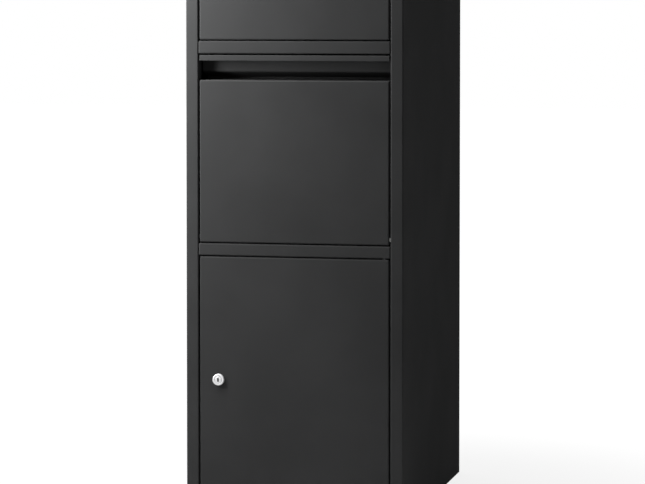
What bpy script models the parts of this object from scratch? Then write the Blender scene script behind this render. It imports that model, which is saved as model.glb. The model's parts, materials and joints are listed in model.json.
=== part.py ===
"""Free-standing parcel locker: a folded sheet-metal cabinet with a tilting parcel hopper,
a push-in letter flap and a lockable collection door.

Metres, +Z up. The front faces -Y and the origin lies under the middle of the base.
"""
import bpy
import bmesh
from math import acos, asin, cos, hypot, pi, radians, sin
from mathutils import Vector

# Sheet metal and fits
SHEET = 0.0015
BEND = 0.0025
BEND_SEGMENTS = 3
FIT = 0.0003
REVEAL = 0.0025
RAIL_GAP = 0.002

# Cabinet
WIDTH = 0.400
DEPTH = 0.600
STILE = 0.023
STILE_DEPTH = 0.025
STILE_SETBACK = 0.0006
STILE_LIP = 0.010
REAR_FLANGE = 0.020
BASE_FLANGE = 0.025

# Heights of the front, from the floor up
BOTTOM_RAIL = 0.030
DOOR_HEIGHT = 0.445
LOWER_RAIL = 0.022
HOPPER_HEIGHT = 0.339
UPPER_RAIL = 0.023
FLAP_HEIGHT = 0.116
TOP_RAIL = 0.0212

# Holes for fixing the cabinet to a floor and a wall
ANCHOR_RADIUS = 0.006
ANCHOR_SPAN_X = 0.260
ANCHOR_SPAN_Y = 0.420
WALL_HOLE_RADIUS = 0.005
WALL_HOLE_SPAN_X = 0.240
WALL_HOLE_LOW = 0.200
WALL_HOLE_HIGH = 0.900

# Pins, bushes and rubber buffers
PIN_RADIUS = 0.0025
PIN_HEAD_RADIUS = 0.0042
PIN_HEAD = 0.003
PIN_REACH = 0.012
BUSH_WALL = 0.0009
BUSH_COLLAR_RADIUS = 0.0047
BUSH_COLLAR = 0.0016
ROD_RADIUS = 0.0025
ROD_OVERHANG = 0.006
BUFFER_RADIUS = 0.0025
BUFFER_STEM_RADIUS = 0.0015
BUFFER_BARB_RADIUS = 0.0022
BUFFER_BARB = 0.003

# Parcel hopper
PIVOT_RISE = 0.0095
PAN_DEPTH = 0.015
LIP_HEIGHT = 0.0105
PULL_OPENING = 0.0355
PULL_DEPTH = 0.025
PULL_ROOF_FALL = 0.007
POCKET_MOUTH = 0.0165
POCKET_DEPTH = 0.060
POCKET_BACK = 0.0062
POCKET_FLOOR_RISE = 0.002
CHEEK_CLEAR = 0.004
CHEEK_LOW_ANGLE = radians(-16)
CHEEK_FOOT = 0.018
CHEEK_ARC_STEP = radians(5)
TRAY_RISE = 0.018
TRAY_SLOPE = radians(15)
TRAY_UPSTAND = 0.030
TRAY_HEM = 0.012
TRAY_MARGIN = 0.006
HOPPER_OPEN = radians(50)
STOP_EDGE = 0.018
STOP_RADIUS = 0.005
STOP_LENGTH = 0.012
STOP_HEAD = 0.002
STOP_SHANK_RADIUS = 0.0025
HOPPER_BUFFER_DROP = 0.060

# Letter flap and the chute behind it
FLAP_DEPTH = 0.010
ROD_CLEAR = 0.0008
FLAP_AXIS_DROP = 0.008
FLAP_BAR_LEG = 0.032
FLAP_BAR_WEB = 0.030
FLAP_BAR_RISE = 0.010
FLAP_BAR_INSET = 0.010
FLAP_BUFFER_DROP = 0.001
CHUTE_SHELF = 0.122
CHUTE_LEAN = radians(40)
CHUTE_CLEAR = 0.0045
CHUTE_LENGTH = 0.1945
CHUTE_TAB = 0.018

# Collection door
HINGE_INSET = 0.010
RIB_WIDTH = 0.050
RIB_FOOT = 0.015
RIB_DEPTH = 0.011
RIB_INSET = 0.025
DOOR_BUFFER_INSET = 0.085

# Cam lock
LOCK_INSET = 0.035
LOCK_RISE = 0.222
LOCK_HEAD_RADIUS = 0.0106
LOCK_HEAD = 0.0052
LOCK_HEAD_ROUND = 0.0016
LOCK_BARREL_RADIUS = 0.009
LOCK_PLUG_RADIUS = 0.0065
LOCK_NUT_FLATS = 0.024
LOCK_NUT = 0.0045
KEYWAY_WIDTH = 0.0022
KEYWAY_HEIGHT = 0.0080
KEYWAY_DEPTH = 0.006
CAM_HOLD = 0.008
CAM_THICKNESS = 0.0025
CAM_HUB_RADIUS = 0.009
CAM_END_RADIUS = 0.0065
CAM_CLEARANCE = 0.002
CAM_SCREW_RADIUS = 0.002
CAM_SCREW_LENGTH = 0.010
CAM_SCREW_HEAD_RADIUS = 0.0045
CAM_SCREW_HEAD = 0.0032

# Levels and edges that follow from the sizes above
FRONT = -DEPTH / 2
OPENING = WIDTH / 2 - STILE
PANEL = OPENING - REVEAL
DOOR_Z0 = BOTTOM_RAIL + RAIL_GAP
DOOR_Z1 = DOOR_Z0 + DOOR_HEIGHT
LOWER_RAIL_Z0 = DOOR_Z1 + RAIL_GAP
LOWER_RAIL_Z1 = LOWER_RAIL_Z0 + LOWER_RAIL
HOPPER_Z0 = LOWER_RAIL_Z1 + RAIL_GAP
HOPPER_Z1 = HOPPER_Z0 + HOPPER_HEIGHT
UPPER_RAIL_Z0 = HOPPER_Z1 + RAIL_GAP
UPPER_RAIL_Z1 = UPPER_RAIL_Z0 + UPPER_RAIL
FLAP_Z0 = UPPER_RAIL_Z1 + RAIL_GAP
FLAP_Z1 = FLAP_Z0 + FLAP_HEIGHT
TOP_RAIL_Z0 = FLAP_Z1 + RAIL_GAP
BODY_TOP = TOP_RAIL_Z0 + TOP_RAIL
HEIGHT = BODY_TOP + FIT + SHEET
PIVOT_DEPTH = BEND + BUSH_COLLAR_RADIUS
PIVOT_Z = HOPPER_Z0 + PIVOT_RISE
FACE_Z1 = HOPPER_Z1 - LIP_HEIGHT - PULL_OPENING
CHEEK_RADIUS = hypot(PULL_DEPTH - PIVOT_DEPTH, HOPPER_Z1 - PULL_ROOF_FALL - PIVOT_Z) - CHEEK_CLEAR
STOP_ORBIT = CHEEK_RADIUS - STOP_EDGE
FLAP_AXIS_DEPTH = SHEET + ROD_CLEAR + ROD_RADIUS
FLAP_AXIS_Z = FLAP_Z1 - FLAP_AXIS_DROP
HINGE_X = PANEL - HINGE_INSET
LOCK_X = LOCK_INSET - PANEL
LOCK_Z = DOOR_Z0 + LOCK_RISE
CAM_REACH = LOCK_INSET + REVEAL + CAM_HOLD
BUSH_RADIUS = PIN_RADIUS + FIT + BUSH_WALL
CHANNEL_START = BEND + 3 * FIT

# Finishes: name, colour, roughness, metallic
BLACK_COAT = ("black_coat", (0.030, 0.030, 0.031), 0.45, 0.0)
ZINC = ("zinc", (0.58, 0.58, 0.60), 0.35, 1.0)
CHROME = ("chrome", (0.80, 0.80, 0.80), 0.18, 1.0)
RUBBER = ("rubber", (0.020, 0.020, 0.020), 0.80, 0.0)
NYLON = ("nylon", (0.72, 0.72, 0.70), 0.50, 0.0)
BLACK_NYLON = ("black_nylon", (0.022, 0.022, 0.022), 0.50, 0.0)


for old in list(bpy.data.objects):
    bpy.data.objects.remove(old, do_unlink=True)
PARTS = bpy.data.collections.new("parcel_locker")
CUTTERS = bpy.data.collections.new("cutters")
bpy.context.scene.collection.children.link(PARTS)
bpy.context.scene.collection.children.link(CUTTERS)


def at_depth(depth):
    """Y of a point that lies this far behind the front plane."""
    return FRONT + depth


def pivot_empty(name, place):
    """An empty on a joint's axis, which carries the pieces that move on it."""
    empty = bpy.data.objects.new(name, None)
    empty.empty_display_size = 0.03
    empty.location = place
    PARTS.objects.link(empty)
    bpy.context.view_layer.update()
    return empty


def carry(obj, pivot):
    """Parent a piece to its pivot and leave it where it is."""
    if pivot is None:
        return
    obj.parent = pivot
    obj.matrix_parent_inverse = pivot.matrix_world.inverted()


def coat(obj, finish):
    """Give a piece its own Principled material."""
    name, colour, roughness, metallic = finish
    material = bpy.data.materials.new(f"{obj.name}_{name}")
    material.use_nodes = True
    shader = material.node_tree.nodes["Principled BSDF"]
    shader.inputs["Base Color"].default_value = (*colour, 1.0)
    shader.inputs["Roughness"].default_value = roughness
    shader.inputs["Metallic"].default_value = metallic
    obj.data.materials.append(material)


def add_part(name, data, finish, pivot=None):
    """Link a piece to the locker, coat it and hang it on its pivot."""
    obj = bpy.data.objects.new(name, data)
    PARTS.objects.link(obj)
    coat(obj, finish)
    carry(obj, pivot)
    return obj


def mesh_from(bm, name):
    """Turn a finished bmesh into a mesh."""
    mesh = bpy.data.meshes.new(name)
    bm.to_mesh(mesh)
    bm.free()
    return mesh


def bend_and_thicken(obj):
    """Round the bends of an open sheet and give it its gauge on the inner side."""
    bends = obj.modifiers.new("bends", "BEVEL")
    bends.width = BEND
    bends.segments = BEND_SEGMENTS
    bends.limit_method = "ANGLE"
    bends.angle_limit = radians(10)
    gauge = obj.modifiers.new("gauge", "SOLIDIFY")
    gauge.thickness = SHEET
    gauge.offset = -1
    gauge.use_even_offset = True


def spread(axis, along, point):
    """A profile point (y, z) swept along X, or (x, y) swept along Z, as a 3-D point."""
    if axis == "X":
        return Vector((along, point[0], point[1]))
    return Vector((point[0], point[1], along))


def swept_surface(profile, axis, start, end):
    """Sweep an open profile; its faces point to the right of the way it runs."""
    bm = bmesh.new()
    chain = [bm.verts.new(spread(axis, start, point)) for point in profile]
    edges = [bm.edges.new(pair) for pair in zip(chain, chain[1:])]
    swept = bmesh.ops.extrude_edge_only(bm, edges=edges)["geom"]
    moved = [item for item in swept if isinstance(item, bmesh.types.BMVert)]
    bmesh.ops.translate(bm, verts=moved, vec=spread(axis, end - start, (0, 0)))
    bmesh.ops.recalc_face_normals(bm, faces=bm.faces[:])
    run = (profile[1][0] - profile[0][0], profile[1][1] - profile[0][1])
    right = spread(axis, 0, (run[1], -run[0]))
    if edges[0].link_faces[0].normal.dot(right) < 0:
        bmesh.ops.reverse_faces(bm, faces=bm.faces[:])
    return bm


def folded_sheet(name, profile, axis, start, end, finish, pivot=None):
    """A sheet folded to a profile, with its metal on the left of the way the profile runs."""
    bm = swept_surface(profile, axis, start, end)
    obj = add_part(name, mesh_from(bm, name), finish, pivot)
    bend_and_thicken(obj)
    return obj


def box_mesh(low, high):
    """A bmesh box between two corners."""
    bm = bmesh.new()
    bmesh.ops.create_cube(bm, size=1)
    low = Vector(low)
    high = Vector(high)
    bmesh.ops.scale(bm, verts=bm.verts, vec=high - low)
    bmesh.ops.translate(bm, verts=bm.verts, vec=(low + high) / 2)
    return bm


def pan(name, low, high, open_towards, finish, pivot=None):
    """A panel with its four edges folded back and welded at the corners."""
    bm = box_mesh(low, high)
    bm.normal_update()
    way = Vector(open_towards)
    back = [face for face in bm.faces if face.normal.dot(way) > 0.5]
    bmesh.ops.delete(bm, geom=back, context="FACES_ONLY")
    obj = add_part(name, mesh_from(bm, name), finish, pivot)
    bend_and_thicken(obj)
    return obj


def front_pan(name, half_width, z0, z1, depth, pivot=None):
    """A pan that faces the front and is open at its back."""
    low = (-half_width, at_depth(0), z0)
    high = (half_width, at_depth(depth), z1)
    return pan(name, low, high, (0, 1, 0), BLACK_COAT, pivot)


def flat_plate(name, low, high, finish):
    """A flat blank with its edges just broken."""
    obj = add_part(name, mesh_from(box_mesh(low, high), name), finish)
    edge = obj.modifiers.new("broken_edge", "BEVEL")
    edge.width = SHEET / 5
    edge.segments = 1
    return obj


def cutter(name, mesh):
    """A shape that is taken away from a piece."""
    obj = bpy.data.objects.new(name, mesh)
    CUTTERS.objects.link(obj)
    obj.hide_render = True
    obj.display_type = "WIRE"
    return obj


def cut(obj, tool):
    """Take a cutter away from a piece."""
    hole = obj.modifiers.new(tool.name, "BOOLEAN")
    hole.operation = "DIFFERENCE"
    hole.object = tool


def turn_to(obj, axis):
    """Point a piece's own Z along a world axis."""
    turns = {
        "+X": (0, pi / 2, 0),
        "-X": (0, -pi / 2, 0),
        "+Y": (-pi / 2, 0, 0),
        "+Z": (0, 0, 0),
        "-Z": (pi, 0, 0),
    }
    obj.rotation_euler = turns[axis]


def drill(obj, name, place, axis, radius, length, sides=24):
    """Drill a round hole through a piece, with its middle at a place."""
    bm = bmesh.new()
    bmesh.ops.create_cone(bm, cap_ends=True, segments=sides, radius1=radius, radius2=radius, depth=length)
    tool = cutter(name, mesh_from(bm, name))
    tool.location = place
    turn_to(tool, axis)
    cut(obj, tool)


def turned(name, profile, place, axis, finish, pivot=None, ring=False, steps=24):
    """A turned piece from (radius, height) points that run down its outer side."""
    bm = bmesh.new()
    chain = [bm.verts.new((radius, 0, height)) for radius, height in profile]
    pairs = list(zip(chain, chain[1:]))
    if ring:
        pairs.append((chain[-1], chain[0]))
    for pair in pairs:
        bm.edges.new(pair)
    obj = add_part(name, mesh_from(bm, name), finish)
    obj.location = place
    turn_to(obj, axis)
    spin = obj.modifiers.new("turning", "SCREW")
    spin.steps = steps
    spin.render_steps = steps
    spin.use_merge_vertices = True
    spin.merge_threshold = 0.00001
    spin.use_smooth_shade = True
    carry(obj, pivot)
    return obj


def flat_shape(name, outlines, thickness, place, turn, finish, pivot=None):
    """A flat piece from closed outlines; those inside the first one are holes."""
    curve = bpy.data.curves.new(name, "CURVE")
    curve.dimensions = "2D"
    curve.fill_mode = "BOTH"
    curve.extrude = thickness / 2
    for outline in outlines:
        spline = curve.splines.new("POLY")
        spline.points.add(len(outline) - 1)
        for point, (across, up) in zip(spline.points, outline):
            point.co = (across, up, 0, 1)
        spline.use_cyclic_u = True
    obj = add_part(name, curve, finish)
    obj.location = place
    obj.rotation_euler = turn
    carry(obj, pivot)
    return obj


def arc(centre, radius, start, end, count):
    """Points along an arc, both ends included."""
    angles = [start + (end - start) * step / (count - 1) for step in range(count)]
    return [(centre[0] + radius * cos(angle), centre[1] + radius * sin(angle)) for angle in angles]


def circle(centre, radius, count=24):
    """Points round a full circle."""
    return arc(centre, radius, 0, 2 * pi * (count - 1) / count, count)


def side_panels():
    """Left and right sides, each folded round into its front stile and its rear flange."""
    lip_end = OPENING + STILE_LIP
    rear_end = WIDTH / 2 - REAR_FLANGE
    right = [
        (lip_end, at_depth(STILE_DEPTH)),
        (OPENING, at_depth(STILE_DEPTH)),
        (OPENING, at_depth(0)),
        (WIDTH / 2, at_depth(STILE_SETBACK)),
        (WIDTH / 2, at_depth(DEPTH)),
        (rear_end, at_depth(DEPTH)),
    ]
    left = [(-x, y) for x, y in reversed(right)]
    panels = {}
    for side, profile in (("left", left), ("right", right)):
        name = f"{side}_side_panel"
        panels[side] = folded_sheet(name, profile, "Z", 0, BODY_TOP, BLACK_COAT)
    return panels


def rails():
    """The four rails that close the front between the stiles."""
    half = OPENING - FIT
    spans = {
        "bottom_rail": (0, BOTTOM_RAIL),
        "lower_rail": (LOWER_RAIL_Z0, LOWER_RAIL_Z1),
        "upper_rail": (UPPER_RAIL_Z0, UPPER_RAIL_Z1),
        "top_rail": (TOP_RAIL_Z0, BODY_TOP),
    }
    return {name: front_pan(name, half, z0, z1, STILE_DEPTH) for name, (z0, z1) in spans.items()}


def corners(span_x, span_y):
    """The four corners of a rectangle about the middle."""
    return [(x * span_x / 2, y * span_y / 2) for x in (-1, 1) for y in (-1, 1)]


def base_back_and_roof():
    """Base tray, back panel and roof sheet."""
    inside = WIDTH / 2 - SHEET - FIT
    back_y1 = at_depth(DEPTH - SHEET - FIT)
    back_y0 = back_y1 - SHEET
    low = (-inside, at_depth(STILE_DEPTH + FIT), 0)
    high = (inside, back_y0 - FIT, BASE_FLANGE)
    base = pan("base_panel", low, high, (0, 0, 1), BLACK_COAT)
    for number, (x, y) in enumerate(corners(ANCHOR_SPAN_X, ANCHOR_SPAN_Y)):
        drill(base, f"anchor_hole_{number}", (x, y, 0), "+Z", ANCHOR_RADIUS, 4 * SHEET)
    back = flat_plate("back_panel", (-inside, back_y0, 0), (inside, back_y1, BODY_TOP), BLACK_COAT)
    for x in (-WALL_HOLE_SPAN_X / 2, WALL_HOLE_SPAN_X / 2):
        for z in (WALL_HOLE_LOW, WALL_HOLE_HIGH):
            drill(back, "wall_hole", (x, back_y0, z), "+Y", WALL_HOLE_RADIUS, 4 * SHEET)
    roof_low = (-WIDTH / 2, at_depth(0), HEIGHT - SHEET)
    flat_plate("roof_panel", roof_low, (WIDTH / 2, at_depth(DEPTH), HEIGHT), BLACK_COAT)


def letter_chute():
    """The folded baffle that letters slide over and the hopper swings under."""
    inside = WIDTH / 2 - SHEET - FIT
    front = STILE_DEPTH + FIT
    shelf_z = UPPER_RAIL_Z1 - SHEET / 2
    knee = front + CHUTE_SHELF
    swing = CHEEK_RADIUS + CHUTE_CLEAR
    knee_z = PIVOT_Z + (swing - (knee - PIVOT_DEPTH) * cos(CHUTE_LEAN)) / sin(CHUTE_LEAN)
    profile = [
        (at_depth(knee + CHUTE_LENGTH * sin(CHUTE_LEAN)), knee_z - CHUTE_LENGTH * cos(CHUTE_LEAN)),
        (at_depth(knee), knee_z),
        (at_depth(front), shelf_z),
        (at_depth(front), shelf_z - CHUTE_TAB),
    ]
    folded_sheet("letter_chute", profile, "X", -inside, inside, BLACK_COAT)


def buffer(panel, name, place, way):
    """A rubber buffer pushed into a hole in the stile's return; its head stops a moving panel."""
    head = OPENING - FIT - (PANEL - SHEET + FIT)
    inner = SHEET + 2 * FIT
    profile = [
        (0, inner + BUFFER_BARB),
        (BUFFER_STEM_RADIUS, inner + BUFFER_BARB),
        (BUFFER_BARB_RADIUS, inner),
        (BUFFER_STEM_RADIUS, inner),
        (BUFFER_STEM_RADIUS, 0),
        (BUFFER_RADIUS, 0),
        (BUFFER_RADIUS, -head),
        (0, -head),
    ]
    sign = 1 if way == "+X" else -1
    seat = (sign * (OPENING - FIT), place[0], place[1])
    turned(name, profile, seat, way, RUBBER, steps=16)
    drill(panel, f"{name}_hole", seat, way, BUFFER_STEM_RADIUS + FIT, 6 * SHEET, sides=16)


def buffers(panels):
    """Buffers behind the hopper's top, the door's free edge and the flap's top."""
    behind_pan = at_depth(PAN_DEPTH + FIT + BUFFER_RADIUS)
    behind_flap = at_depth(FLAP_DEPTH + FIT + BUFFER_RADIUS)
    hopper_z = HOPPER_Z1 - HOPPER_BUFFER_DROP
    flap_z = FLAP_Z1 - FLAP_BUFFER_DROP
    for side, way in (("left", "-X"), ("right", "+X")):
        buffer(panels[side], f"hopper_buffer_{side}", (behind_pan, hopper_z), way)
        buffer(panels[side], f"flap_buffer_{side}", (behind_flap, flap_z), way)
    buffer(panels["left"], "door_buffer_lower", (behind_pan, DOOR_Z0 + DOOR_BUFFER_INSET), "-X")
    buffer(panels["left"], "door_buffer_upper", (behind_pan, DOOR_Z1 - DOOR_BUFFER_INSET), "-X")


def pin(name, reach, place, axis):
    """A headed pin; its place is the outer face of the sheet that it stands in."""
    neck = -SHEET - FIT
    profile = [
        (0, reach),
        (PIN_RADIUS - FIT, reach),
        (PIN_RADIUS, reach - 2 * FIT),
        (PIN_RADIUS, neck),
        (PIN_HEAD_RADIUS, neck),
        (PIN_HEAD_RADIUS, neck - PIN_HEAD),
        (0, neck - PIN_HEAD),
    ]
    turned(name, profile, place, axis, ZINC)


def bush(name, barrel, place, axis, finish, pivot):
    """A collared bush; its place is its outer end and the collar seats inside the panel."""
    bore = PIN_RADIUS + FIT
    profile = [
        (BUSH_COLLAR_RADIUS, barrel + BUSH_COLLAR),
        (BUSH_COLLAR_RADIUS, barrel),
        (BUSH_RADIUS, barrel),
        (BUSH_RADIUS, 0),
        (bore, 0),
        (bore, barrel + BUSH_COLLAR),
    ]
    turned(name, profile, place, axis, finish, pivot, ring=True)


def hopper(panels):
    """The tilting hopper with its pull channel, cheeks, tray, pivots and stops."""
    axis_y = at_depth(PIVOT_DEPTH)
    pivot = pivot_empty("hopper_pivot", (0, axis_y, PIVOT_Z))
    face = hopper_face(pivot)
    pull_channel(pivot)
    hopper_tray(pivot)
    barrel = REVEAL + 2 * SHEET + FIT
    for side, sign, finish in (("left", -1, BLACK_NYLON), ("right", 1, NYLON)):
        outward = "+X" if sign > 0 else "-X"
        inward = "-X" if sign > 0 else "+X"
        hopper_cheek(side, sign, pivot)
        hopper_stop(side, sign, outward, pivot)
        seat = (sign * OPENING, axis_y, PIVOT_Z)
        pin(f"hopper_pin_{side}", PIN_REACH, seat, inward)
        drill(panels[side], f"hopper_pin_hole_{side}", seat, outward, PIN_RADIUS + FIT, 6 * SHEET)
        bush_end = (sign * (OPENING - FIT), axis_y, PIVOT_Z)
        bush(f"hopper_bush_{side}", barrel, bush_end, inward, finish, pivot)
        flange = (sign * PANEL, axis_y, PIVOT_Z)
        drill(face, f"hopper_bush_hole_{side}", flange, outward, BUSH_RADIUS + FIT, 4 * SHEET)


def channel_floor(depth):
    """Height of the underside of the pull channel's floor at a depth behind the front."""
    slope = POCKET_FLOOR_RISE / (POCKET_DEPTH - CHANNEL_START)
    return FACE_Z1 - SHEET + slope * (depth - CHANNEL_START)


def hopper_face(pivot):
    """The hopper's front panel; its top flange stops short where the pull channel begins."""
    face = front_pan("hopper_face", PANEL, HOPPER_Z0, FACE_Z1, PAN_DEPTH, pivot)
    low = (-PANEL - REVEAL, at_depth(BEND + FIT), FACE_Z1 - BEND - FIT)
    high = (PANEL + REVEAL, at_depth(PAN_DEPTH + REVEAL), FACE_Z1 + PULL_OPENING / 2)
    cut(face, cutter("channel_relief", mesh_from(box_mesh(low, high), "channel_relief")))
    return face


def pocket_roof(depth):
    """Height of the top of the sloping sheet over the finger pocket at a depth behind the front."""
    foot = FACE_Z1 + POCKET_MOUTH
    rear = channel_floor(POCKET_DEPTH) + POCKET_BACK
    return foot + (rear - foot) * (depth - PULL_DEPTH) / (POCKET_DEPTH - PULL_DEPTH)


def pull_channel(pivot):
    """The folded finger pull along the hopper's top: pocket floor, pocket roof, wall, top and front lip."""
    profile = [
        (at_depth(CHANNEL_START), channel_floor(CHANNEL_START)),
        (at_depth(POCKET_DEPTH), channel_floor(POCKET_DEPTH)),
        (at_depth(POCKET_DEPTH), pocket_roof(POCKET_DEPTH)),
        (at_depth(PULL_DEPTH), pocket_roof(PULL_DEPTH)),
        (at_depth(PULL_DEPTH), HOPPER_Z1 - PULL_ROOF_FALL),
        (at_depth(0), HOPPER_Z1),
        (at_depth(0), HOPPER_Z1 - LIP_HEIGHT),
    ]
    folded_sheet("pull_channel", profile, "X", -PANEL, PANEL, BLACK_COAT, pivot)


def hopper_cheek(side, sign, pivot):
    """A quadrant plate that closes one end of the hopper and follows the pull channel."""
    centre = (PIVOT_DEPTH, PIVOT_Z)
    front = BEND + FIT
    back = POCKET_DEPTH + FIT
    wall = PULL_DEPTH + FIT
    bend = wall + BEND
    top_angle = acos((wall - PIVOT_DEPTH) / CHEEK_RADIUS)
    count = round((top_angle - CHEEK_LOW_ANGLE) / CHEEK_ARC_STEP)
    outline = [
        (CHEEK_FOOT, HOPPER_Z0 + BEND + FIT),
        (front, HOPPER_Z0 + BEND + FIT),
        (front, channel_floor(front) - FIT),
        (back, channel_floor(back) - FIT),
        (back, pocket_roof(back) + 2 * FIT),
        (bend, pocket_roof(bend) + 2 * FIT),
        (wall, pocket_roof(wall) + BEND),
    ]
    outline += arc(centre, CHEEK_RADIUS, top_angle, CHEEK_LOW_ANGLE, count)
    holes = [circle(centre, BUSH_RADIUS + FIT), circle(stop_place(), STOP_SHANK_RADIUS + FIT)]
    x = sign * (PANEL - SHEET - FIT - SHEET / 2)
    name = f"hopper_cheek_{side}"
    upright = (pi / 2, 0, pi / 2)
    flat_shape(name, [outline] + holes, SHEET, (x, FRONT, 0), upright, BLACK_COAT, pivot)


def stop_place():
    """Depth and height of a stop stud that meets the stile's lip when the hopper is open."""
    open_depth = STILE_DEPTH + STOP_RADIUS + 2 * FIT - PIVOT_DEPTH
    angle = acos(open_depth / STOP_ORBIT) - HOPPER_OPEN
    return (PIVOT_DEPTH + STOP_ORBIT * cos(angle), PIVOT_Z + STOP_ORBIT * sin(angle))


def hopper_stop(side, sign, outward, pivot):
    """A stud on the cheek that ends the hopper's travel behind the stile."""
    cheek = SHEET + 2 * FIT
    profile = [
        (0, STOP_LENGTH),
        (STOP_RADIUS - FIT, STOP_LENGTH),
        (STOP_RADIUS, STOP_LENGTH - FIT),
        (STOP_RADIUS, 0),
        (STOP_SHANK_RADIUS, 0),
        (STOP_SHANK_RADIUS, -cheek),
        (STOP_RADIUS, -cheek),
        (STOP_RADIUS, -cheek - STOP_HEAD),
        (0, -cheek - STOP_HEAD),
    ]
    depth, z = stop_place()
    place = (sign * (PANEL - SHEET), at_depth(depth), z)
    turned(f"hopper_stop_{side}", profile, place, outward, ZINC, pivot, steps=20)


def hopper_tray(pivot):
    """The sloping floor of the hopper, turned up behind the face and hemmed at its rear."""
    front = SHEET + FIT
    bend_z = PIVOT_Z + TRAY_RISE
    length = CHEEK_RADIUS - TRAY_MARGIN
    rear = (front + length * cos(TRAY_SLOPE), bend_z - length * sin(TRAY_SLOPE))
    hem = (rear[0] - TRAY_HEM * sin(TRAY_SLOPE), rear[1] - TRAY_HEM * cos(TRAY_SLOPE))
    outline = [(front, bend_z + TRAY_UPSTAND), (front, bend_z), rear, hem]
    profile = [(at_depth(depth), z) for depth, z in outline]
    half = PANEL - 2 * SHEET - 2 * FIT
    folded_sheet("hopper_tray", profile, "X", -half, half, BLACK_COAT, pivot)


def letter_flap(panels):
    """The push-in letter flap, its stiffening bar and the rod that it hangs on."""
    axis_y = at_depth(FLAP_AXIS_DEPTH)
    pivot = pivot_empty("flap_pivot", (0, axis_y, FLAP_AXIS_Z))
    flap = front_pan("flap_panel", PANEL, FLAP_Z0, FLAP_Z1, FLAP_DEPTH, pivot)
    rod_half = OPENING + SHEET + ROD_OVERHANG
    profile = [
        (0, rod_half),
        (ROD_RADIUS - FIT, rod_half),
        (ROD_RADIUS, rod_half - FIT),
        (ROD_RADIUS, FIT - rod_half),
        (ROD_RADIUS - FIT, -rod_half),
        (0, -rod_half),
    ]
    turned("flap_rod", profile, (0, axis_y, FLAP_AXIS_Z), "+X", ZINC)
    for side, sign in (("left", -1), ("right", 1)):
        hole = ROD_RADIUS + FIT
        stile = (sign * OPENING, axis_y, FLAP_AXIS_Z)
        drill(panels[side], f"flap_rod_hole_{side}", stile, "+X", hole, 6 * SHEET)
        flange = (sign * PANEL, axis_y, FLAP_AXIS_Z)
        drill(flap, f"flap_hole_{side}", flange, "+X", hole, 4 * SHEET)
    web = at_depth(SHEET + FIT)
    tip = web + FLAP_BAR_LEG
    z0 = FLAP_Z0 + FLAP_BAR_RISE
    z1 = z0 + FLAP_BAR_WEB
    half = PANEL - FLAP_BAR_INSET
    bar = [(tip, z1), (web, z1), (web, z0), (tip, z0)]
    folded_sheet("flap_stiffener", bar, "X", -half, half, BLACK_COAT, pivot)


def collection_door(frame_rails):
    """The lockable lower door with its hinge bushes, pins and stiffening rib."""
    axis_y = at_depth(PIVOT_DEPTH)
    pivot = pivot_empty("door_pivot", (HINGE_X, axis_y, DOOR_Z0))
    door = front_pan("door_panel", PANEL, DOOR_Z0, DOOR_Z1, PAN_DEPTH, pivot)
    ends = (
        ("lower", frame_rails["bottom_rail"], BOTTOM_RAIL, DOOR_Z0, 1, "+Z"),
        ("upper", frame_rails["lower_rail"], LOWER_RAIL_Z0, DOOR_Z1, -1, "-Z"),
    )
    barrel = RAIL_GAP + SHEET
    for end, rail, rail_z, door_z, way, axis in ends:
        pin(f"door_pin_{end}", PIN_REACH, (HINGE_X, axis_y, rail_z), axis)
        drill(rail, f"door_pin_hole_{end}", (HINGE_X, axis_y, rail_z), "+Z", PIN_RADIUS + FIT, 4 * SHEET)
        bush_end = (HINGE_X, axis_y, rail_z + way * FIT)
        bush(f"door_bush_{end}", barrel, bush_end, axis, BLACK_NYLON, pivot)
        drill(door, f"door_bush_hole_{end}", (HINGE_X, axis_y, door_z), "+Z", BUSH_RADIUS + FIT, 4 * SHEET)
    door_rib(pivot)
    return door, pivot


def door_rib(pivot):
    """A hat-shaped rib down the middle of the door's back."""
    foot = at_depth(SHEET + FIT)
    crown = foot + RIB_DEPTH
    half = RIB_WIDTH / 2
    toe = half + RIB_FOOT
    profile = [(-toe, foot), (-half, foot), (-half, crown), (half, crown), (half, foot), (toe, foot)]
    folded_sheet("door_rib", profile, "Z", DOOR_Z0 + RIB_INSET, DOOR_Z1 - RIB_INSET, BLACK_COAT, pivot)


def cam_lock(door, door_pivot):
    """The cam lock: housing and nut fixed to the door; plug, cam and screw turn in it."""
    place = (LOCK_X, at_depth(0), LOCK_Z)
    drill(door, "lock_hole", place, "+Y", LOCK_BARREL_RADIUS + FIT, 6 * SHEET, sides=32)
    cam_front = STILE_DEPTH + CAM_CLEARANCE
    barrel_end = cam_front - 4 * FIT
    lock_housing(place, barrel_end, door_pivot)
    turn_pivot = pivot_empty("lock_pivot", place)
    carry(turn_pivot, door_pivot)
    bpy.context.view_layer.update()
    lock_plug(place, cam_front - FIT, turn_pivot)
    lock_cam(place, cam_front, turn_pivot)


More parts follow.
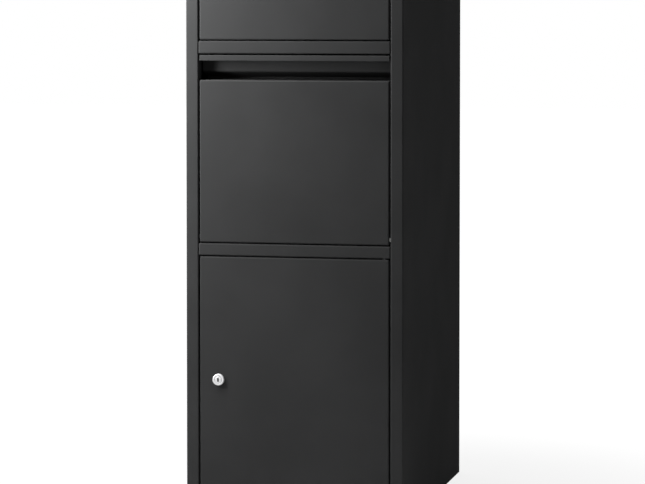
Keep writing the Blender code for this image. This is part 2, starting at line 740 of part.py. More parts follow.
def lock_housing(place, barrel_end, pivot):
    """The flanged barrel in the door and the hexagon nut that clamps it."""
    bore = LOCK_PLUG_RADIUS + FIT
    edge = LOCK_HEAD_RADIUS
    shoulder = (edge - LOCK_HEAD_ROUND, LOCK_HEAD_ROUND - LOCK_HEAD)
    profile = [
        (LOCK_BARREL_RADIUS, barrel_end),
        (LOCK_BARREL_RADIUS, -FIT),
        (edge - FIT, -FIT),
        (edge, -2 * FIT),
    ]
    profile += arc(shoulder, LOCK_HEAD_ROUND, 0, -pi / 2, 4)
    profile += [
        (bore + 2 * FIT, -LOCK_HEAD),
        (bore, -LOCK_HEAD + 2 * FIT),
        (bore, barrel_end),
    ]
    turned("lock_housing", profile, place, "+Y", CHROME, pivot, ring=True, steps=32)
    hexagon = circle((0, 0), LOCK_NUT_FLATS / 2 / cos(pi / 6), 6)
    hole = circle((0, 0), LOCK_BARREL_RADIUS + FIT, 32)
    middle = (place[0], at_depth(SHEET + FIT + LOCK_NUT / 2), place[2])
    flat_shape("lock_nut", [hexagon, hole], LOCK_NUT, middle, (pi / 2, 0, 0), ZINC, pivot)


def lock_plug(place, rear, pivot):
    """The key plug with its upright keyway and the tapped hole for the cam's screw."""
    nose = -LOCK_HEAD - FIT
    profile = [
        (0, rear),
        (LOCK_PLUG_RADIUS, rear),
        (LOCK_PLUG_RADIUS, nose + 2 * FIT),
        (LOCK_PLUG_RADIUS - 2 * FIT, nose),
        (0, nose),
    ]
    plug = turned("lock_plug", profile, place, "+Y", CHROME, pivot, steps=32)
    half = Vector((KEYWAY_WIDTH / 2, KEYWAY_DEPTH, KEYWAY_HEIGHT / 2))
    front = Vector((place[0], place[1] + nose, place[2]))
    keyway = mesh_from(box_mesh(front - half, front + half), "keyway")
    cut(plug, cutter("keyway", keyway))
    tapped = (place[0], place[1] + rear, place[2])
    drill(plug, "cam_screw_hole", tapped, "+Y", CAM_SCREW_RADIUS + FIT, 2 * CAM_SCREW_LENGTH, sides=16)


def lock_cam(place, front, pivot):
    """The latch cam, hanging down when the lock is open, and its screw."""
    lean = asin((CAM_HUB_RADIUS - CAM_END_RADIUS) / (CAM_REACH - CAM_END_RADIUS))
    end = (0, CAM_END_RADIUS - CAM_REACH)
    outline = arc((0, 0), CAM_HUB_RADIUS, -lean, pi + lean, 15)
    outline += arc(end, CAM_END_RADIUS, pi + lean, 2 * pi - lean, 9)
    hole = circle((0, 0), CAM_SCREW_RADIUS + FIT, 16)
    middle = (place[0], at_depth(front + CAM_THICKNESS / 2), place[2])
    flat_shape("lock_cam", [outline, hole], CAM_THICKNESS, middle, (pi / 2, 0, 0), ZINC, pivot)
    head = front + CAM_THICKNESS + FIT
    tip = head - CAM_THICKNESS - CAM_SCREW_LENGTH
    profile = [
        (0, head + CAM_SCREW_HEAD),
        (CAM_SCREW_HEAD_RADIUS - 2 * FIT, head + CAM_SCREW_HEAD),
        (CAM_SCREW_HEAD_RADIUS, head + CAM_SCREW_HEAD - 2 * FIT),
        (CAM_SCREW_HEAD_RADIUS, head),
        (CAM_SCREW_RADIUS, head),
        (CAM_SCREW_RADIUS, tip),
        (0, tip),
    ]
    turned("cam_screw", profile, place, "+Y", ZINC, pivot, steps=16)


SIDES = side_panels()
RAILS = rails()
base_back_and_roof()
letter_chute()
buffers(SIDES)
hopper(SIDES)
letter_flap(SIDES)
DOOR, DOOR_PIVOT = collection_door(RAILS)
cam_lock(DOOR, DOOR_PIVOT)
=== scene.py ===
"""Looks of a black parcel locker: coated sheet metal, a bright cam lock, studio light and camera."""
import json
from math import cos, pi, radians, sin

import bpy
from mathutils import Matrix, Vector


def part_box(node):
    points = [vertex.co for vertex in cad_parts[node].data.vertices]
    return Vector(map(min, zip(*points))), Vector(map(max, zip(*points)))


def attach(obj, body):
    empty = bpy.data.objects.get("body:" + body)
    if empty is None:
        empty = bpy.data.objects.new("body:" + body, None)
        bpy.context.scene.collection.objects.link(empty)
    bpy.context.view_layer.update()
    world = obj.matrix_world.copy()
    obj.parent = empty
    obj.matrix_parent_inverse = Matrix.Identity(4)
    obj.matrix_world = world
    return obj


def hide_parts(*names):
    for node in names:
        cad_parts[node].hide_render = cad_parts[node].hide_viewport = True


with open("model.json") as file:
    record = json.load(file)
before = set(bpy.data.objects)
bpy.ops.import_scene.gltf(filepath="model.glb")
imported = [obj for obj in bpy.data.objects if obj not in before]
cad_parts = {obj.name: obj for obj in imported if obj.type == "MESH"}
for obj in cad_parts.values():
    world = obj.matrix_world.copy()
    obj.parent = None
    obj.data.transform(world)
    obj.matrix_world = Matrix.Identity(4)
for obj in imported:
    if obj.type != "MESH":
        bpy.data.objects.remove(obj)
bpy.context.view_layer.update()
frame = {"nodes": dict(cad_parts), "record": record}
NODES = frame["nodes"]
BODIES = frame["record"]["behaviour"]["bodies"]
BODY_OF = {node: body for body, nodes in BODIES.items() for node in nodes}
JOINTS = {joint["name"]: joint for joint in frame["record"]["behaviour"]["joints"]}
MM = 0.001

# The photograph's frame in pixels, and the camera that was fitted to it
PHOTO_WIDTH = 645
PHOTO_HEIGHT = 484
SENSOR = 36.0
FOCAL_PX = 2774.0
AXIS_PX_Y = 124.0
CAMERA_PLACE = (1.1309, -5.1392, 0.9269)
CAMERA_PITCH = radians(-2.404)
CAMERA_YAW = radians(12.557)
VIEW_DEPTH = 60

# Softened edges and shading of the solids
SHEET_EDGE = 0.22 * MM
SMALL_EDGE = 0.12 * MM
EDGE_STEPS = 2
EDGE_ANGLE = radians(55)
SMOOTH_ANGLE = radians(42)
FLAT_ANGLE = radians(0.3)
FLAT_WEIGHT = 60
MERGE = 0.01 * MM

# Cam lock, in millimetres from its place on the door's front; depths run into the door
LOCK_PLACE = Vector(JOINTS["lock_turn"]["pos_m"])
TO_REAR = (-pi / 2, 0, 0)
OVERCUT = 1.0
EDGE_BREAK = 0.3
FINE_EDGE = 0.08
HEAD_RADIUS = 10.6
HEAD_ROUND = 1.7
HEAD_FRONT = -5.2
HEAD_SEAT = -0.3
MOUTH_WIDE = 0.6
MOUTH_DEEP = 0.4
BARREL_RADIUS = 9.0
BARREL_END = 25.8
THREAD_PITCH = 1.0
THREAD_DEPTH = 0.45
THREAD_START = 2.2
THREAD_RUNOUT = 1.0
FIRST_CREST = 0.6
BORE_RADIUS = 6.8
PLUG_RADIUS = 6.5
PLUG_FRONT = -5.5
PLUG_END = 26.7
GROOVE_RADIUS = 5.45
GROOVE_MOUTH = 0.5
GROOVE_FOOT = 0.25
GROOVE_DEPTH = 0.45
KEYWAY_SIDES = 8
KEYWAY_REACH = 4.6
KEYWAY_SHARE = 0.39
KEYWAY_DEPTH = 6.0
SHUTTER_GROW = 0.1
SHUTTER_FRONT = 1.2
SHUTTER_BACK = 2.0
SHUTTER_RIM = 0.5
SHUTTER_DISH = 0.1
NUT_FLATS = 24.0
NUT_FRONT = 1.8
NUT_THICK = 4.5
NUT_EDGE = 0.12
NUT_CORNER = 0.9
NUT_PLAY = 0.3
SINK_WIDE = 1.6
SINK_DEEP = 0.6
SCREW_SEAT = 29.8
SCREW_TOP = 33.0
SCREW_TIP = 17.3
SCREW_HEAD_RADIUS = 4.5
SCREW_RADIUS = 2.0

# The screw head's dome as (share of its radius, drop from its top) points
SCREW_DOME = [(0.35, 0.0), (0.68, 0.4), (0.90, 1.15), (1.0, 2.1)]

# The screw's cross recess: length, width and twice the depth of each of its two slots
RECESS = (4.6, 1.1, 3.4)

# Sides of the circles that are turned into pieces
TURNED_STEPS = 72
SCREW_STEPS = 48
WELD_STEPS = 20

# Spot welds: a mark's (radius, height) points in millimetres above its sheet, and its place on it in metres
WELD_MARK = [(3.0, -0.02), (2.7, 0.03), (2.0, 0.055), (1.0, 0.06)]
WELD_COUNT = 5
WELD_INSET = 32 * MM
WELD_EDGE = 7.5 * MM
SHEET = 1.5 * MM

# Floor and surround: sizes in metres, and levels
FLOOR_SIZE = 40.0
FLOOR_GAP = 0.4 * MM
COVERED = (0.38, 0.58)
FLOOR_PALE = 0.80
FLOOR_WHITE = 1.04
SHADOW_NEAR = 0.35
SHADOW_FAR = 1.10
SHADOW_SHARE = 0.18
AMBIENT = 0.18

# Soft lights: place, the point that each one faces, width, height and radiance
LIGHTS = {
    "key_light": ((-0.42, -0.47, 1.10), (-0.14, -0.30, 0.88), 0.14, 1.30, 46.0),
    "strip_light": ((0.36, 1.05, 0.62), (0.10, 0.10, 0.50), 0.10, 1.50, 0.27),
    "top_light": ((-0.10, -0.70, 2.40), (0.0, -0.32, 1.00), 1.60, 0.50, 0.6),
    "rear_light": ((-0.85, 1.55, 0.66), (-0.05, 0.30, 0.50), 1.60, 1.30, 2.6),
    "right_light": ((1.45, -1.15, 0.62), (0.20, 0.0, 0.50), 1.20, 1.20, 0.8),
}


class Value:
    """An output socket; sums written with it add Math nodes to its material."""

    def __init__(self, paint, socket):
        self.paint = paint
        self.socket = socket

    def sum(self, operation, first, second):
        settings = {"operation": operation}
        return self.paint.add("ShaderNodeMath", settings, {0: first, 1: second})

    def __add__(self, other):
        return self.sum("ADD", self, other)

    __radd__ = __add__

    def __sub__(self, other):
        return self.sum("SUBTRACT", self, other)

    def __rsub__(self, other):
        return self.sum("SUBTRACT", other, self)

    def __mul__(self, other):
        return self.sum("MULTIPLY", self, other)

    __rmul__ = __mul__


class Paint:
    """A node tree and the few ways in which nodes are added to it."""

    def __init__(self, owner):
        owner.use_nodes = True
        self.tree = owner.node_tree
        self.tree.nodes.clear()

    def add(self, kind, settings=None, sockets=None, output=0):
        """Add a node: its settings first, then the values or links of its sockets."""
        node = self.tree.nodes.new(kind)
        for key, value in (settings or {}).items():
            setattr(node, key, value)
        for key, value in (sockets or {}).items():
            if isinstance(value, Value):
                self.tree.links.new(value.socket, node.inputs[key])
            else:
                node.inputs[key].default_value = value
        return Value(self, node.outputs[output]) if node.outputs else None

    def place(self):
        """The place on the piece."""
        return self.add("ShaderNodeTexCoord", output="Object")

    def noise(self, scale, detail=2.0, roughness=0.5, stretch=(1, 1, 1)):
        """Noise with a number of waves to the metre, which a stretch makes longer along an axis."""
        where = self.place()
        if stretch != (1, 1, 1):
            where = self.add("ShaderNodeMapping", None, {"Vector": where, "Scale": stretch})
        sockets = {"Vector": where, "Scale": scale, "Detail": detail, "Roughness": roughness}
        return self.add("ShaderNodeTexNoise", None, sockets)

    def band(self, value, low, high, start=0.0, end=1.0):
        """A smooth step of a value between two levels."""
        sockets = {"Value": value, "From Min": low, "From Max": high, "To Min": start, "To Max": end}
        return self.add("ShaderNodeMapRange", {"interpolation_type": "SMOOTHSTEP"}, sockets)

    def blend(self, factor, first, second):
        """A colour between two colours."""
        sockets = {"Factor": factor, 6: first, 7: second}
        return self.add("ShaderNodeMix", {"data_type": "RGBA"}, sockets, output=2)

    def bump(self, height, strength, distance):
        """The normal of a fine relief."""
        sockets = {"Strength": strength, "Distance": distance, "Height": height}
        return self.add("ShaderNodeBump", None, sockets)

    def edges(self, radius):
        """How much the surface turns within a radius: 0 on a flat, up to 1 on an edge."""
        soft = self.add("ShaderNodeBevel", {"samples": 6}, {"Radius": radius})
        true = self.add("ShaderNodeNewGeometry", output="Normal")
        product = {"operation": "DOT_PRODUCT"}
        along = self.add("ShaderNodeVectorMath", product, {0: soft, 1: true}, output="Value")
        return self.band(1 - along, low=0.02, high=0.25)

    def part_of(self, vector, axis):
        """One of a vector's three parts: 0 across, 1 to the rear, 2 upward."""
        return self.add("ShaderNodeSeparateXYZ", None, {0: vector}, output=axis)

    def surface(self, sockets):
        """A Principled shader on the surface output."""
        shader = self.add("ShaderNodeBsdfPrincipled", None, sockets)
        self.add("ShaderNodeOutputMaterial", None, {"Surface": shader})


def grey(level, warmth=0.0):
    """A near-neutral colour; warmth shifts it to red and away from blue."""
    return (level * (1 + warmth), level, level * (1 - warmth), 1.0)


def black_coat():
    """Smooth matt black powder coat: fine orange peel, slow changes of tone, thin at the edges."""
    material = bpy.data.materials.new("black_powder_coat")
    paint = Paint(material)
    peel = paint.noise(scale=520, detail=2)
    grain = paint.noise(scale=2600, detail=1)
    cloud = paint.noise(scale=5, detail=3)
    smear = paint.noise(scale=16, detail=4, stretch=(1, 1, 0.35))
    patchy = paint.band(paint.noise(scale=140, detail=3), low=0.35, high=0.65)
    thin = paint.edges(1.2 * MM) * patchy
    upward = paint.part_of(paint.add("ShaderNodeNewGeometry", output="Normal"), 2)
    dust = paint.band(upward, low=0.6, high=1.0) * paint.band(smear, low=0.35, high=0.75)
    dark, light = grey(0.027, warmth=-0.01), grey(0.032, warmth=-0.01)
    body = paint.blend(paint.band(cloud, low=0.3, high=0.7), dark, light)
    worn = paint.blend(thin * 0.35, body, grey(0.060))
    colour = paint.blend(dust * 0.025, worn, grey(0.32, warmth=0.03))
    roughness = 0.5 + 0.04 * cloud + 0.03 * smear + 0.06 * dust - 0.04 * thin
    relief = paint.bump(peel + 0.35 * grain, strength=0.14, distance=0.6 * MM)
    sheen = {"IOR": 1.5, "Specular IOR Level": 0.0005}
    paint.surface({"Base Color": colour, "Roughness": roughness, "Normal": relief, **sheen})
    return material


def plated_zinc():
    """Bright zinc plate, a little uneven and faintly spangled."""
    material = bpy.data.materials.new("zinc_plate")
    paint = Paint(material)
    patch = paint.noise(scale=240, detail=3)
    fine = paint.noise(scale=3200, detail=1)
    bluish, bright = (0.56, 0.57, 0.59, 1), (0.66, 0.66, 0.66, 1)
    colour = paint.blend(paint.band(patch, low=0.3, high=0.7), bluish, bright)
    roughness = 0.26 + 0.16 * patch
    relief = paint.bump(fine, strength=0.05, distance=0.3 * MM)
    paint.surface({"Base Color": colour, "Roughness": roughness, "Normal": relief, "Metallic": 1.0})
    return material


def satin_chrome():
    """Satin chrome of the lock, with fine handling scratches."""
    material = bpy.data.materials.new("satin_chrome")
    paint = Paint(material)
    haze = paint.noise(scale=500, detail=3)
    scratch = paint.noise(scale=1500, detail=2, stretch=(1, 1, 0.06))
    colour = paint.blend(haze, (0.56, 0.56, 0.57, 1), (0.64, 0.64, 0.64, 1))
    roughness = 0.54 + 0.10 * haze + 0.05 * scratch
    relief = paint.bump(scratch, strength=0.03, distance=0.2 * MM)
    paint.surface({"Base Color": colour, "Roughness": roughness, "Normal": relief, "Metallic": 1.0})
    return material


def black_rubber():
    """Matt moulded rubber with a bloom."""
    material = bpy.data.materials.new("moulded_rubber")
    paint = Paint(material)
    bloom = paint.noise(scale=700, detail=3)
    colour = paint.blend(bloom, grey(0.014), grey(0.032, warmth=0.02))
    roughness = 0.70 + 0.18 * bloom
    relief = paint.bump(paint.noise(scale=4200, detail=1), strength=0.12, distance=0.2 * MM)
    paint.surface({"Base Color": colour, "Roughness": roughness, "Normal": relief})
    return material


def nylon(name, first, second):
    """Moulded nylon of the bushes, faintly clouded between two colours."""
    material = bpy.data.materials.new(name)
    paint = Paint(material)
    milky = paint.noise(scale=420, detail=2)
    colour = paint.blend(milky, first, second)
    roughness = 0.42 + 0.12 * milky
    relief = paint.bump(paint.noise(scale=2400, detail=1), strength=0.04, distance=0.2 * MM)
    paint.surface({"Base Color": colour, "Roughness": roughness, "Normal": relief})
    return material


FINISHES = {
    "black_coat": black_coat(),
    "zinc": plated_zinc(),
    "chrome": satin_chrome(),
    "rubber": black_rubber(),
    "nylon": nylon("natural_nylon", (0.74, 0.74, 0.71, 1), (0.82, 0.82, 0.79, 1)),
    "black_nylon": nylon("black_nylon", grey(0.016), grey(0.026)),
}


def only(piece):
    """Select one piece, make it active and leave everything else alone."""
    bpy.ops.object.select_all(action="DESELECT")
    piece.select_set(True)
    bpy.context.view_layer.objects.active = piece


def edit_all():
    """Open the active piece's mesh with everything in it selected."""
    bpy.ops.object.mode_set(mode="EDIT")
    bpy.ops.mesh.select_all(action="SELECT")


def apply_modifier(piece, name, kind, **settings):
    """Add a modifier and apply it."""
    modifier = piece.modifiers.new(name, kind)
    for key, value in settings.items():
        setattr(modifier, key, value)
    only(piece)
    bpy.ops.object.modifier_apply(modifier=modifier.name)


def soften(piece, name, width, **more):
    """Round a piece's sharp edges a little."""
    settings = {"width": width, "segments": EDGE_STEPS, "limit_method": "ANGLE", "angle_limit": EDGE_ANGLE}
    apply_modifier(piece, name, "BEVEL", **settings, **more)


def finish_piece(piece, slot, body):
    """Coat a piece and let it ride on its body."""
    piece.data.materials.clear()
    piece.data.materials.append(FINISHES[slot])
    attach(piece, body)


def smooth(piece):
    """Shade the bends and turned faces round and keep the flats flat."""
    only(piece)
    bpy.ops.object.shade_smooth_by_angle(angle=SMOOTH_ANGLE)
    apply_modifier(piece, "flats", "WEIGHTED_NORMAL", keep_sharp=True, weight=FLAT_WEIGHT)


def slot_of(node):
    """The record's material slot of a solid."""
    return NODES[node].material_slots[0].material.name


def dressed(node, edge):
    """A solid's mesh made whole, with its cut edges softened as a coat leaves them."""
    piece = bpy.data.objects.new(f"{node}_finished", NODES[node].data.copy())
    bpy.context.scene.collection.objects.link(piece)
    only(piece)
    bpy.ops.mesh.customdata_custom_splitnormals_clear()
    edit_all()
    bpy.ops.mesh.remove_doubles(threshold=MERGE)
    bpy.ops.mesh.dissolve_limited(angle_limit=FLAT_ANGLE)
    bpy.ops.object.mode_set(mode="OBJECT")
    soften(piece, "softened_edges", edge, use_clamp_overlap=False)
    smooth(piece)
    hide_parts(node)
    finish_piece(piece, slot_of(node), BODY_OF[node])


def dress_solids():
    """Dress every solid that has no piece of its own."""
    own = {"lock_housing", "lock_plug", "lock_nut", "cam_screw"}
    for node in sorted(set(NODES) - own):
        sheet = slot_of(node) == "black_coat"
        dressed(node, SHEET_EDGE if sheet else SMALL_EDGE)


def start(name, add, **settings):
    """Add a primitive with nothing else selected, and put its place in its mesh."""
    bpy.ops.object.select_all(action="DESELECT")
    add(**settings)
    piece = bpy.context.active_object
    piece.name = name
    bpy.ops.object.transform_apply(location=True, rotation=True, scale=True)
    return piece


def turned(name, profile, steps=TURNED_STEPS, ring=False):
    """A circle drawn out along (radius, height) points in millimetres, closed by caps or into a ring."""
    radius, height = profile[0]
    settings = {"vertices": steps, "radius": radius * MM, "location": (0, 0, height * MM)}
    piece = start(name, bpy.ops.mesh.primitive_circle_add, **settings)
    edit_all()
    for wide, high in profile[1:] + (profile[:1] if ring else []):
        bpy.ops.mesh.extrude_region_move(TRANSFORM_OT_translate={"value": (0, 0, (high - height) * MM)})
        share = wide / radius
        bpy.ops.transform.resize(value=(share, share, 1), center_override=(0, 0, high * MM))
        radius, height = wide, high
    bpy.ops.mesh.select_all(action="SELECT")
    bpy.ops.mesh.remove_doubles(threshold=MERGE)
    if not ring:
        bpy.ops.mesh.fill_holes(sides=0)
    bpy.ops.mesh.normals_make_consistent(inside=False)
    bpy.ops.object.mode_set(mode="OBJECT")
    return piece


def stretch(piece, size):
    """Resize a piece's mesh about the origin, where the lock's axis runs until it is set in place."""
    only(piece)
    edit_all()
    bpy.ops.transform.resize(value=size, center_override=(0, 0, 0))
    bpy.ops.object.mode_set(mode="OBJECT")


def combine(piece, tool, operation):
    """Cut or trim a piece with a tool, which is used up."""
    apply_modifier(piece, tool.name, "BOOLEAN", operation=operation, object=tool, solver="EXACT")
    bpy.data.objects.remove(tool, do_unlink=True)
    edit_all()
    bpy.ops.mesh.remove_doubles(threshold=MERGE)
    bpy.ops.mesh.dissolve_degenerate(threshold=MERGE)
    bpy.ops.object.mode_set(mode="OBJECT")


def quarter(middle, radius, start_angle, end_angle, count=7):
    """Points along an arc between two angles in degrees."""
    step = (end_angle - start_angle) / (count - 1)
    angles = [radians(start_angle + step * number) for number in range(count)]
    return [(middle[0] + radius * cos(angle), middle[1] + radius * sin(angle)) for angle in angles]


def settle(piece, place, turn):
    """Put a piece's place and turn into its mesh."""
    piece.location = place
    piece.rotation_euler = turn
    only(piece)
    bpy.ops.object.transform_apply(location=True, rotation=True, scale=True)


def fit_to_lock(piece, node, edge=0.0):
    """Set a lock piece on the lock's axis in place of its solid; its own Z runs into the door."""
    if edge:
        soften(piece, "broken_edges", edge * MM)
    smooth(piece)
    settle(piece, LOCK_PLACE, TO_REAR)
    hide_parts(node)
    finish_piece(piece, slot_of(node), BODY_OF[node])


def lock_housing():
    """The lock's rounded head and its threaded barrel."""
    turns = int((BARREL_END - THREAD_RUNOUT - THREAD_START) / THREAD_PITCH)
    root = BARREL_RADIUS - THREAD_DEPTH
    profile = [(BORE_RADIUS, BARREL_END), (root, BARREL_END)]
    for turn in range(turns):
        crest = BARREL_END - FIRST_CREST - turn * THREAD_PITCH
        profile += [(BARREL_RADIUS, crest), (root, crest - THREAD_PITCH / 2)]
    profile += [(BARREL_RADIUS, THREAD_START), (BARREL_RADIUS, HEAD_SEAT)]
    profile += [(HEAD_RADIUS - EDGE_BREAK, HEAD_SEAT), (HEAD_RADIUS, HEAD_SEAT - EDGE_BREAK)]
    shoulder = (HEAD_RADIUS - HEAD_ROUND, HEAD_FRONT + HEAD_ROUND)
    profile += quarter(shoulder, HEAD_ROUND, 0, -90)
    profile += [(BORE_RADIUS + MOUTH_WIDE, HEAD_FRONT), (BORE_RADIUS, HEAD_FRONT + MOUTH_DEEP)]
    fit_to_lock(turned("lock_head", profile, ring=True), "lock_housing")


def keyway(name, grow, front, back):
    """A tall eight-sided bar in the shape of the keyway, between two depths."""
    place = (0, 0, (front + back) / 2 * MM)
    reach = (KEYWAY_REACH + grow) * MM
    settings = {"vertices": KEYWAY_SIDES, "radius": reach, "depth": (back - front) * MM, "location": place}
    piece = start(name, bpy.ops.mesh.primitive_cylinder_add, **settings)
    stretch(piece, (KEYWAY_SHARE, 1, 1))
    return piece


def lock_plug():
    """The key plug with a turned groove, its tall keyway and the dust shutter in it."""
    foot = PLUG_FRONT + GROOVE_DEPTH
    profile = [(PLUG_RADIUS, PLUG_END), (PLUG_RADIUS, PLUG_FRONT + EDGE_BREAK)]
    profile += [(PLUG_RADIUS - EDGE_BREAK, PLUG_FRONT)]
    profile += [(GROOVE_RADIUS + GROOVE_MOUTH, PLUG_FRONT), (GROOVE_RADIUS + GROOVE_FOOT, foot)]
    profile += [(GROOVE_RADIUS - GROOVE_FOOT, foot), (GROOVE_RADIUS - GROOVE_MOUTH, PLUG_FRONT)]
    plug = turned("key_plug", profile)
    cut = keyway("keyway_cut", 0, PLUG_FRONT - OVERCUT, PLUG_FRONT + KEYWAY_DEPTH)
    combine(plug, cut, "DIFFERENCE")
    fit_to_lock(plug, "lock_plug", FINE_EDGE)
    front, back = PLUG_FRONT + SHUTTER_FRONT, PLUG_FRONT + SHUTTER_BACK
    shutter = keyway("keyway_shutter", SHUTTER_GROW, front, back)
    edit_all()
    bpy.ops.mesh.inset(thickness=SHUTTER_RIM * MM, depth=-SHUTTER_DISH * MM, use_individual=True)
    bpy.ops.object.mode_set(mode="OBJECT")
    settle(shutter, LOCK_PLACE, TO_REAR)
    finish_piece(shutter, "black_nylon", BODY_OF["lock_plug"])


def lock_nut():
    """The hexagon nut behind the door, with its corners turned off."""
    corner = NUT_FLATS / 2 / cos(pi / 6)
    back = NUT_FRONT + NUT_THICK
    place = (0, 0, (NUT_FRONT + back) / 2 * MM)
    settings = {"vertices": 6, "radius": corner * MM, "depth": NUT_THICK * MM}
    settings.update(location=place, rotation=(0, 0, pi / 6))
    nut = start("barrel_nut", bpy.ops.mesh.primitive_cylinder_add, **settings)
    flat = NUT_FLATS / 2 + EDGE_BREAK
    lens = [(flat, NUT_FRONT), (corner, NUT_FRONT + NUT_CORNER), (corner, back - NUT_CORNER), (flat, back)]
    combine(nut, turned("nut_turning", lens), "INTERSECT")
    bore = BARREL_RADIUS + NUT_PLAY
    mouth = bore + SINK_WIDE
    sink = [(mouth, NUT_FRONT - OVERCUT), (bore, NUT_FRONT + SINK_DEEP)]
    sink += [(bore, back - SINK_DEEP), (mouth, back + OVERCUT)]
    combine(nut, turned("nut_bore", sink), "DIFFERENCE")
    fit_to_lock(nut, "lock_nut", NUT_EDGE)


def cam_screw():
    """The cam's round-headed screw with a cross recess."""
    profile = [(share * SCREW_HEAD_RADIUS, SCREW_TOP - drop) for share, drop in SCREW_DOME]
    profile += [(SCREW_HEAD_RADIUS, SCREW_SEAT), (SCREW_RADIUS, SCREW_SEAT), (SCREW_RADIUS, SCREW_TIP)]
    screw = turned("round_screw", profile, steps=SCREW_STEPS)
    for size in (RECESS, (RECESS[1], RECESS[0], RECESS[2])):
        slot = start("recess_slot", bpy.ops.mesh.primitive_cube_add, size=MM)
        stretch(slot, size)
        slot.location.z = SCREW_TOP * MM
        combine(screw, slot, "DIFFERENCE")
    fit_to_lock(screw, "cam_screw", FINE_EDGE)


def weld_row(name, body, places, turn):
    """Shallow spot-weld marks under the coat: one is turned, copied to each place and joined."""
    first = turned(name, WELD_MARK, steps=WELD_STEPS)
    marks = [first] + [first.copy() for _ in places[1:]]
    for mark in marks[1:]:
        mark.data = first.data.copy()
        bpy.context.scene.collection.objects.link(mark)
    for mark, place in zip(marks, places):
        settle(mark, place, turn)
    for mark in marks:
        mark.select_set(True)
    bpy.context.view_layer.objects.active = first
    bpy.ops.object.join()
    smooth(first)
    finish_piece(first, "black_coat", body)


def spaced(low, high):
    """Evenly spaced places of welds between the ends of a sheet."""
    first, last = low + WELD_INSET, high - WELD_INSET
    return [first + (last - first) * number / (WELD_COUNT - 1) for number in range(WELD_COUNT)]


def weld_marks():
    """The welds of the door's rib, the flap's stiffener and the hopper's cheeks."""
    low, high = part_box("door_rib")
    foot = low[1] + SHEET
    heights = spaced(low[2], high[2])
    sides = (low[0] + WELD_EDGE, high[0] - WELD_EDGE)
    weld_row("rib_welds", "door", [(x, foot, z) for x in sides for z in heights], TO_REAR)
    low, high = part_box("flap_stiffener")
    web = low[1] + SHEET
    middle = (low[2] + high[2]) / 2
    across = spaced(low[0], high[0])
    weld_row("flap_welds", "flap", [(x, web, middle) for x in across], TO_REAR)
    low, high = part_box("hopper_face")
    depth = (low[1] + high[1]) / 2
    heights = spaced(low[2], high[2])
    for side, end, sign in (("left", 1, 1), ("right", 0, -1)):
        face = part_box(f"hopper_cheek_{side}")[end][0]
        places = [(face, depth, z) for z in heights]
        weld_row(f"{side}_cheek_welds", "hopper", places, (0, sign * pi / 2, 0))


def floor_piece(name, size, height):
    """A flat stage piece with a material of its own; returns the material's paint."""
    bpy.ops.object.select_all(action="DESELECT")
    bpy.ops.mesh.primitive_plane_add(size=1, location=(0, 0, height))
    piece = bpy.context.active_object
    piece.name = name
    piece.scale = (*size, 1)
    bpy.ops.object.transform_apply(location=False, rotation=False, scale=True)
    material = bpy.data.materials.new(name)
    piece.data.materials.append(material)
    return Paint(material)


def covered_floor():
    """The floor under the locker, which stays dark in the anchor holes."""
    paint = floor_piece("covered_floor", COVERED, -FLOOR_GAP / 2)
    pale = paint.add("ShaderNodeBsdfDiffuse", None, {"Color": grey(FLOOR_PALE)})
    paint.add("ShaderNodeOutputMaterial", None, {"Surface": pale})


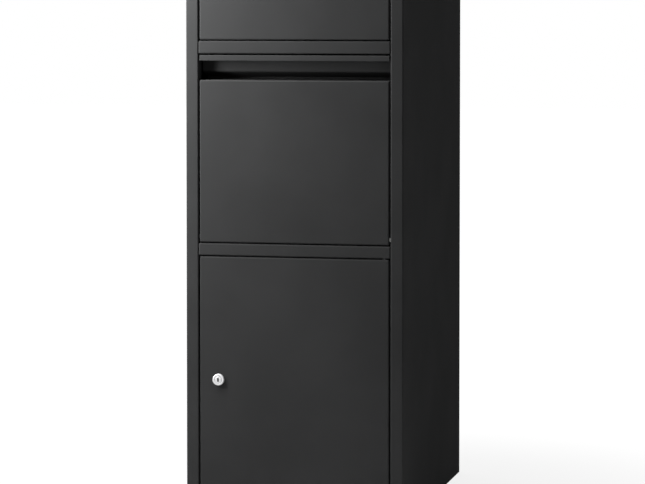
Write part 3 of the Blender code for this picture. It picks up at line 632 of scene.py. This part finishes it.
def studio_floor():
    """A plain pale floor that keeps the locker's shadow and fades to white round it."""
    paint = floor_piece("studio_floor", (FLOOR_SIZE, FLOOR_SIZE), -FLOOR_GAP)
    reach = paint.add("ShaderNodeVectorMath", {"operation": "LENGTH"}, {0: paint.place()}, output="Value")
    share = paint.band(reach, SHADOW_NEAR, SHADOW_FAR, SHADOW_SHARE, 0.0)
    pale = paint.add("ShaderNodeBsdfDiffuse", None, {"Color": grey(FLOOR_PALE)})
    white = paint.add("ShaderNodeEmission", None, {"Color": grey(1.0), "Strength": FLOOR_WHITE})
    seen = paint.add("ShaderNodeLightPath", output="Is Camera Ray")
    glossy = paint.add("ShaderNodeLightPath", output="Is Glossy Ray")
    through = paint.add("ShaderNodeLightPath", output="Is Transmission Ray")
    shown = paint.add("ShaderNodeMixShader", None, {0: seen * (1 - share), 1: pale, 2: white})
    mixed = paint.add("ShaderNodeMixShader", None, {0: glossy + through, 1: shown, 2: white})
    paint.add("ShaderNodeOutputMaterial", None, {"Surface": mixed})


def studio_world():
    """White to the camera, to mirrored and to transmitted rays, and a weaker light on the locker."""
    world = bpy.data.worlds.new("studio")
    bpy.context.scene.world = world
    paint = Paint(world)
    seen = paint.add("ShaderNodeLightPath", output="Is Camera Ray")
    through = paint.add("ShaderNodeLightPath", output="Is Transmission Ray")
    glossy = paint.add("ShaderNodeLightPath", output="Is Glossy Ray")
    strength = AMBIENT + (1 - AMBIENT) * (seen + through + glossy)
    light = paint.add("ShaderNodeBackground", None, {"Color": grey(1.0), "Strength": strength})
    paint.add("ShaderNodeOutputWorld", None, {"Surface": light})


def softbox(name, place, target, width, height, radiance):
    """A rectangular soft light that faces a point."""
    lamp = bpy.data.lights.new(name, "AREA")
    lamp.shape = "RECTANGLE"
    lamp.size = width
    lamp.size_y = height
    lamp.energy = radiance * pi * width * height
    holder = bpy.data.objects.new(name, lamp)
    bpy.context.scene.collection.objects.link(holder)
    holder.location = place
    holder.rotation_euler = (Vector(target) - Vector(place)).to_track_quat("-Z", "Y").to_euler()
    holder.visible_camera = False


def studio_lights():
    """A tall narrow key at the left of the front, a strip behind the right, a top light and two fills."""
    for name, settings in LIGHTS.items():
        softbox(name, *settings)


def photo_camera():
    """The camera of the photograph."""
    lens = bpy.data.cameras.new("photo_camera")
    lens.sensor_width = SENSOR
    lens.lens = FOCAL_PX / PHOTO_WIDTH * SENSOR
    lens.shift_y = (AXIS_PX_Y - PHOTO_HEIGHT / 2) / PHOTO_WIDTH
    lens.clip_end = VIEW_DEPTH
    camera = bpy.data.objects.new("photo_camera", lens)
    camera.location = CAMERA_PLACE
    camera.rotation_euler = (pi / 2 + CAMERA_PITCH, 0, CAMERA_YAW)
    bpy.context.scene.collection.objects.link(camera)
    bpy.context.scene.camera = camera


bpy.context.scene.view_settings.view_transform = "Standard"
dress_solids()
lock_housing()
lock_plug()
lock_nut()
cam_screw()
weld_marks()
covered_floor()
studio_floor()
studio_world()
studio_lights()
photo_camera()
